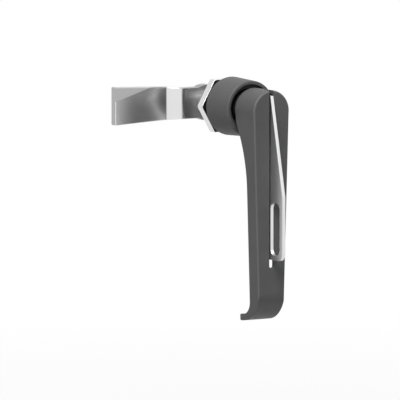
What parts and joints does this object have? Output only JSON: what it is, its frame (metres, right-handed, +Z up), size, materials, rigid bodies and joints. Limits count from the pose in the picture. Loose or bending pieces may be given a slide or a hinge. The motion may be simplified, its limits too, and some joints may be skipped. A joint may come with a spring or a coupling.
{
  "type": "padlockable cam latch",
  "caption": "L-handle quarter-turn cam latch for a sheet panel: hollow hooked grip, round collar with shank and nut, bent cam, and a swing-out plate with a padlock slot.",
  "frame": {"origin": "on the turning axis, in the plane where the gasket seats on the outside of the panel", "axes": "+X right, +Y into the panel along the turning axis, +Z up; the grip hangs to -Z and the cam points to -X"},
  "size_m": [0.0676, 0.0835, 0.1226],
  "materials": {
    "housing_coat": "dark grey satin powder coat on die-cast zinc",
    "handle_coat": "dark grey satin powder coat on die-cast zinc",
    "seal_rubber": "matt black rubber",
    "nut_zinc": "bright zinc plate",
    "bush_nylon": "natural nylon",
    "spindle_steel": "turned steel",
    "fastener_zinc": "zinc plate",
    "cam_steel": "brushed zinc-plated steel",
    "hasp_steel": "polished stainless steel"
  },
  "bodies": {
    "housing": {"housing": "housing_coat", "panel_gasket": "seal_rubber", "panel_nut": "nut_zinc", "front_bush": "bush_nylon", "rear_bush": "bush_nylon"},
    "handle": {"handle": "handle_coat", "neck_o_ring": "seal_rubber", "spindle": "spindle_steel", "spindle_pin": "spindle_steel", "spindle_o_ring": "seal_rubber", "stop_washer": "fastener_zinc", "retaining_ring": "spindle_steel", "cam": "cam_steel", "cam_flat_washer": "fastener_zinc", "cam_spring_washer": "fastener_zinc", "cam_bolt": "fastener_zinc", "hasp_pin": "spindle_steel", "hasp_washer": "spindle_steel", "hasp_disc_spring": "spindle_steel"},
    "hasp": {"hasp_plate": "hasp_steel"}
  },
  "joints": [
    {"name": "handle_turn", "type": "hinge", "parent": "housing", "child": "handle", "pos_m": [0, 0, 0], "axis": [0, -1, 0], "range_deg": [0, 90]},
    {"name": "hasp_swing", "type": "hinge", "parent": "handle", "child": "hasp", "pos_m": [0, -0.0332, 0.0036], "axis": [-1, 0, 0], "range_deg": [-12.5, 5]}
  ]
}
